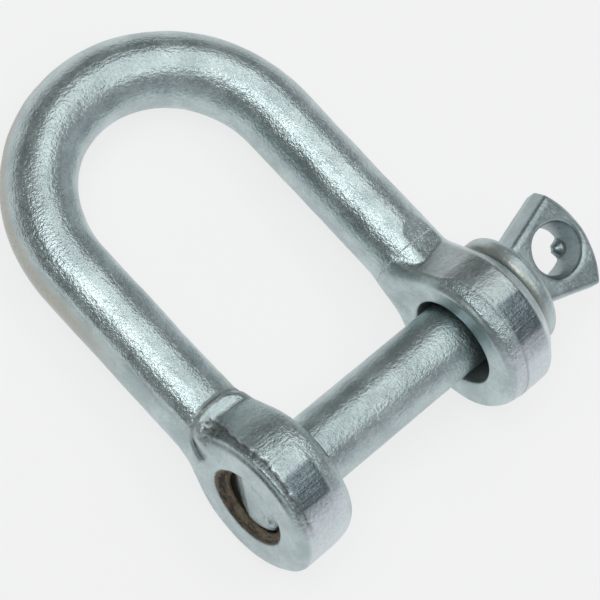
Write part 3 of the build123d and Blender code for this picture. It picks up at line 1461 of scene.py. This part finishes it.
@dataclass(frozen=True)
class Thread:
    """A screw thread: one ridge of trapezoid section that winds along +X.

    As it is turned below, the section's broad side comes out at the crest and its narrow one at the root.
    """

    root: float
    crest: float
    pitch: float
    turns: float
    bottom_share: float = 0.84
    top_share: float = 0.2
    points_in_turn: int = 48

    def tree(self) -> bpy.types.NodeTree:
        """Builds the node tree that winds the ridge.

        Returns:
            The tree.
        """
        group = bpy.data.node_groups.new("winding", "GeometryNodeTree")
        sockets = {"Root": "FLOAT", "Crest": "FLOAT", "Pitch": "FLOAT", "Turns": "FLOAT", "Start": "VECTOR"}
        group.interface.new_socket("Geometry", in_out="INPUT", socket_type="NodeSocketGeometry")
        for name, kind in sockets.items():
            group.interface.new_socket(name, in_out="INPUT", socket_type=f"NodeSocket{kind.title()}")
        group.interface.new_socket("Finish", in_out="INPUT", socket_type="NodeSocketMaterial")
        group.interface.new_socket("Geometry", in_out="OUTPUT", socket_type="NodeSocketGeometry")
        sheet = Sheet(group)
        given = sheet.node("NodeGroupInput")
        root, crest, pitch, turns, begin, finish = (
            sheet.wire(given, name) for name in ("Root", "Crest", "Pitch", "Turns", "Start", "Finish")
        )
        middle = 0.5 * (root + crest)
        spiral = sheet.node(
            "GeometryNodeCurveSpiral",
            {},
            {
                "Resolution": self.points_in_turn,
                "Rotations": turns,
                "Start Radius": middle,
                "End Radius": middle,
                "Height": turns * pitch,
                "Reverse": True,
            },
        )
        upright = sheet.node("GeometryNodeSetCurveNormal", {"mode": "Z_UP"}, {"Curve": sheet.wire(spiral)})
        section = sheet.node(
            "GeometryNodeCurvePrimitiveQuadrilateral",
            {"mode": "TRAPEZOID"},
            {
                "Height": crest - root,
                "Bottom Width": pitch * self.bottom_share,
                "Top Width": pitch * self.top_share,
                "Offset": 0.0,
            },
        )
        # A quarter turn lays the section's height along the radius
        turned = sheet.node(
            "GeometryNodeTransform", {}, {"Geometry": sheet.wire(section), "Rotation": (0, 0, math.pi / 2)}
        )
        swept = sheet.node(
            "GeometryNodeCurveToMesh",
            {},
            {"Curve": sheet.wire(upright), "Profile Curve": sheet.wire(turned), "Fill Caps": True},
        )
        # This turn takes z to x, x to y and y to z
        turn = Matrix(((0, 0, 1), (1, 0, 0), (0, 1, 0))).to_euler()
        values = {"Geometry": sheet.wire(swept), "Translation": begin, "Rotation": tuple(turn)}
        placed = sheet.node("GeometryNodeTransform", {}, values)
        whole = sheet.node("GeometryNodeRealizeInstances", {}, {"Geometry": sheet.wire(placed)})
        values = {"Geometry": sheet.wire(whole), "Material": finish}
        dressed = sheet.node("GeometryNodeSetMaterial", {}, values)
        sheet.node("NodeGroupOutput", {}, {0: sheet.wire(dressed)})
        return group

    def wind(self, name: str, start: Vector, material: bpy.types.Material) -> bpy.types.Object:
        """Makes the ridge a plain mesh.

        Args:
            name: The new object's name.
            start: Where the ridge starts, on the axis, in millimetres.
            material: Its finish.

        Returns:
            The object.
        """
        piece = add_object(name, bpy.data.meshes.new(name))
        modifier = piece.modifiers.new("winding", "NODES")
        modifier.node_group = self.tree()
        given = {
            "Root": self.root * MM,
            "Crest": self.crest * MM,
            "Pitch": self.pitch * MM,
            "Turns": self.turns,
            "Start": start * MM,
            "Finish": material,
        }
        for item in modifier.node_group.interface.items_tree:
            if item.in_out == "INPUT" and item.name in given:
                modifier[item.identifier] = given[item.name]
        bake_modifiers(piece)
        join_doubles(piece.data, face_out=True)
        return piece


# Finishes


@dataclass(frozen=True)
class Pattern:
    """A noise's sizes: how many lumps to the millimetre, and how its finer layers follow."""

    scale: float
    detail: float
    roughness: float = 0.55


@dataclass(frozen=True)
class ZincFinish:
    """Bright zinc plate on forged steel."""

    name: str
    plate: tuple[float, float, float] = (0.58, 0.68, 0.685)
    dull: tuple[float, float, float] = (0.41, 0.49, 0.50)
    # painted floor reflection for the ears' undersides
    pale: tuple[float, float, float] = (0.74, 0.79, 0.83)
    shaded: tuple[float, float, float] = (0.15, 0.19, 0.21)
    brown: tuple[float, float, float] = (0.42, 0.41, 0.36)
    # colour of real dirt, also used as painted shade in creases, grooves and gaps
    dirt_and_shade: tuple[float, float, float] = (0.075, 0.07, 0.05)
    rust: tuple[float, float, float] = (0.20, 0.16, 0.105)
    black: tuple[float, float, float] = (0.045, 0.038, 0.03)
    roughness: float = 0.31
    lumps: Pattern = Pattern(0.22, 3.0)
    mottle: Pattern = Pattern(2.2, 2.5, 0.6)
    speck: Pattern = Pattern(4.2, 1.0, 0.6)
    streak: Pattern = Pattern(2.2, 3.0)
    lines: Pattern = Pattern(3.4, 2.0, 0.7)
    mottle_height: float = 0.09
    speck_height: float = 0.035
    streak_height: float = 0.045
    crumb_height: float = 0.06
    line_height: float = 0.09

    def material(self) -> bpy.types.Material:
        """Builds the material.

        Returns:
            The material.
        """
        material, sheet = new_material(self.name)
        place = sheet.place()
        grain = sheet.attribute("grain", "Vector")
        names = ("hollow", "plain", "hatch", "rough", "rust", "warm")
        hollow, plain, hatch, rough, rust, warm = (sheet.attribute(name) for name in names)
        still = (self.lumps, self.mottle, self.speck)
        lumps, mottle, speck = (sheet.noise(place, pattern) for pattern in still)
        streak, lines = (sheet.noise(grain, pattern) for pattern in (self.streak, self.lines))
        # Creases and the dirt mask are darkened towards the dirt colour: real dirt, together with painted shade
        # in creases, grooves and gaps
        crease = sheet.step(hollow + 0.03 * (mottle - 0.5), 0.03, 0.1)
        dirt_and_shade = sheet.capped(0.75 * crease + sheet.attribute("dirt_and_shade") * (0.6 + 0.8 * mottle))
        amount = sheet.step(lumps + 0.5 * (mottle - 0.5) + 0.25 * (streak - 0.5), 0.3, 0.72)
        tone = sheet.mix(amount, self.dull, self.plate)
        tone = sheet.mix(sheet.capped(warm * (0.4 + 1.1 * mottle)), tone, self.brown)
        tone = sheet.mix(sheet.capped(sheet.attribute("shade") * (0.35 + 1.1 * lines)), tone, self.shaded)
        # Painted reflection: the pale colour lightens the ears' undersides as if they mirrored the floor
        tone = sheet.mix(sheet.capped(sheet.attribute("pale") * (0.1 + mottle)), tone, self.pale)
        tone = sheet.mix(dirt_and_shade * 0.85, tone, self.dirt_and_shade)
        layers = 0.6 * sheet.step(lines, 0.54, 0.44) + 0.25 * sheet.step(mottle, 0.55, 0.35)
        crust = sheet.mix(sheet.capped(dirt_and_shade * 0.9 + layers), self.rust, self.black)
        colour = sheet.mix(rust, tone, crust)
        metallic = sheet.capped(1 - 0.75 * dirt_and_shade - 0.95 * rust)
        gloss = self.roughness + 0.16 * (mottle - 0.5) + 0.10 * (lumps - 0.5) + 0.10 * (streak - 0.5)
        roughness = sheet.capped(gloss + 0.25 * dirt_and_shade + 0.35 * rust + 0.05 * plain)
        loud = 1 - 0.75 * plain
        skin = self.mottle_height * mottle + self.speck_height * speck + self.streak_height * streak
        height = skin * loud + self.crumb_height * rough * speck + self.line_height * hatch * lines
        sheet.surface(colour, metallic, roughness, height)
        return material


# The studio


@dataclass(frozen=True)
class View:
    """The camera, as it was fitted to the photograph's outline, in millimetres and radians."""

    tilt: float = -0.16041
    turn: float = 0.43533
    roll: float = 0.75089
    shift_x: float = 9.381
    shift_y: float = -12.826
    distance: float = 415.81
    focal_pixels: float = 3300.0
    picture_pixels: float = 600.0
    sensor: float = 36.0


@dataclass(frozen=True)
class Lamp:
    """A square soft lamp that looks at the shackle, in degrees from +X and above the floor, metres and watts."""

    name: str
    azimuth: float
    elevation: float
    size: float
    power: float
    far: float = 0.9


@dataclass(frozen=True)
class Studio:
    """The floor, the lamps, the sky and the camera."""

    setting: Setting
    view: View
    lamps: tuple[Lamp, ...] = (
        Lamp("key", 146, 63, size=0.40, power=1.4),
        Lamp("fill", -58, 66, size=0.45, power=0.7),
        Lamp("front", 40, 58, size=0.45, power=0.75),
    )
    overhead: tuple[tuple[float, float], ...] = (
        (0.0, 0.26),
        (0.30, 0.23),
        (0.50, 0.17),
        (0.68, 0.24),
        (0.82, 0.44),
        (0.91, 0.61),
        (0.96, 0.76),
        (1.0, 0.80),
    )
    overhead_red: float = 0.97
    paper_sweep: tuple[float, float, float] = (0.61, 0.60, 0.635)
    dark_wall: tuple[float, float, float] = (0.13, 0.125, 0.11)
    floor_paper: tuple[float, float, float] = (0.79, 0.785, 0.80)
    floor_size: float = 3.0
    floor_white: float = 0.75

    def floor(self) -> None:
        """Adds the pale floor."""
        bpy.ops.mesh.primitive_plane_add(size=self.floor_size, location=(0, 0, self.setting.floor * MM))
        ground = bpy.context.object
        ground.name = "floor"
        material, sheet = new_material("pale_floor")
        paper = sheet.node("ShaderNodeBsdfDiffuse", {}, {"Color": self.floor_paper})
        white = sheet.node("ShaderNodeEmission", {}, {"Color": (1.0, 1.0, 1.0), "Strength": 1.0})
        path = sheet.node("ShaderNodeLightPath")
        seen = sheet.math("MAXIMUM", sheet.wire(path, "Is Camera Ray"), sheet.wire(path, "Is Glossy Ray"))
        shaders = {0: self.floor_white * seen, 1: sheet.wire(paper), 2: sheet.wire(white)}
        mixed = sheet.node("ShaderNodeMixShader", {}, shaders)
        sheet.node("ShaderNodeOutputMaterial", {}, {0: sheet.wire(mixed)})
        ground.data.materials.append(material)

    def sky(self) -> None:
        """Lights the room: bright overhead, a pale sweep of paper on one side, a dark wall on the other."""
        world = bpy.data.worlds.new("studio")
        bpy.context.scene.world = world
        world.use_nodes = True
        sheet = Sheet(world.node_tree)
        direction = sheet.wire(sheet.node("ShaderNodeTexCoord"), "Generated")
        x, y, z = sheet.parts(direction)
        ramp = sheet.node("ShaderNodeValToRGB", {}, {0: z})
        stops = ramp.color_ramp.elements
        stops.remove(stops[0])
        for index, (at, level) in enumerate(self.overhead):
            stop = stops.new(at) if index else stops[0]
            stop.position = at
            stop.color = (level * self.overhead_red, level, level, 1)
        side = 0.34 * x - 0.94 * y
        sweep = sheet.step(side, -0.1, 0.35) * sheet.step(z, 0.47, 0.41)
        shade = sheet.step(side, -0.2, -0.8) * sheet.step(z, 0.35, 0.1)
        colour = sheet.mix(sweep, sheet.wire(ramp), self.paper_sweep)
        colour = sheet.mix(shade, colour, self.dark_wall)
        background = sheet.node("ShaderNodeBackground", {}, {"Color": colour})
        sheet.node("ShaderNodeOutputWorld", {}, {0: sheet.wire(background)})

    def light(self, lamp: Lamp) -> None:
        """Adds a lamp to the scene.

        Args:
            lamp: The lamp.
        """
        a, e = math.radians(lamp.azimuth), math.radians(lamp.elevation)
        towards = Vector((math.cos(a) * math.cos(e), math.sin(a) * math.cos(e), math.sin(e)))
        glow = bpy.data.lights.new(lamp.name, "AREA")
        glow.size = lamp.size
        glow.energy = lamp.power
        placed = add_object(lamp.name, glow)
        placed.location = towards * lamp.far
        placed.rotation_euler = towards.to_track_quat("Z", "Y").to_euler()

    def camera(self) -> None:
        """Adds the camera at the photograph's place."""
        v = self.view
        lens = bpy.data.cameras.new("camera")
        lens.sensor_width = v.sensor
        lens.lens = v.focal_pixels * v.sensor / v.picture_pixels
        turns = ((v.roll, "Z"), (v.tilt, "X"), (v.turn, "Y"), (self.setting.lean, "X"))
        to_camera = Matrix.Identity(3)
        for angle, axis in turns:
            to_camera = to_camera @ Matrix.Rotation(angle, 3, axis)
        offset = Vector((v.shift_x, v.shift_y, -v.distance))
        back = to_camera.transposed()
        camera = add_object("camera", lens)
        place = (self.setting.pin_centre - back @ offset) * MM
        camera.matrix_world = Matrix.Translation(place) @ back.to_4x4()
        bpy.context.scene.camera = camera

    def build(self) -> None:
        """Sets the whole studio up."""
        self.floor()
        self.sky()
        for lamp in self.lamps:
            self.light(lamp)
        self.camera()
        bpy.context.scene.view_settings.view_transform = "Standard"


def hand_over(piece: bpy.types.Object, body: str, replaced: str | None = None) -> None:
    """Hangs a finished piece on the body that it rides on, hides the CAD node that it stands for, and logs its
    triangles.

    Args:
        piece: The object.
        body: The body that it rides on.
        replaced: The CAD node that it stands for, if it does.
    """
    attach(piece, body)
    if replaced:
        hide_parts(replaced)
    piece.data.calc_loop_triangles()
    log.info("%s: %d triangles", piece.name, len(piece.data.loop_triangles))


def main() -> None:
    """Builds and dresses every piece."""
    logging.basicConfig(level=logging.INFO, format="%(name)s: %(message)s")
    setting = Setting.from_frame()
    ears = (Ear(setting, TAPPED_EAR), Ear(setting, CLEAR_EAR))
    bow = BowSurface(Bow(setting, BowSizes(), ears)).build()
    bow.data.materials.append(ZincFinish("zinc_bow").material())
    hand_over(bow, "bow", "shackle_body")
    screw = ScrewPin(setting, PinSizes())
    pin_zinc = ZincFinish("zinc_pin", roughness=0.36).material()
    pin = screw.build()
    pin.data.materials.append(pin_zinc)
    hand_over(pin, "pin", "screw_pin")
    hand_over(screw.thread(pin_zinc), "pin")
    Studio(setting, View()).build()


if __name__ == "__main__":
    main()
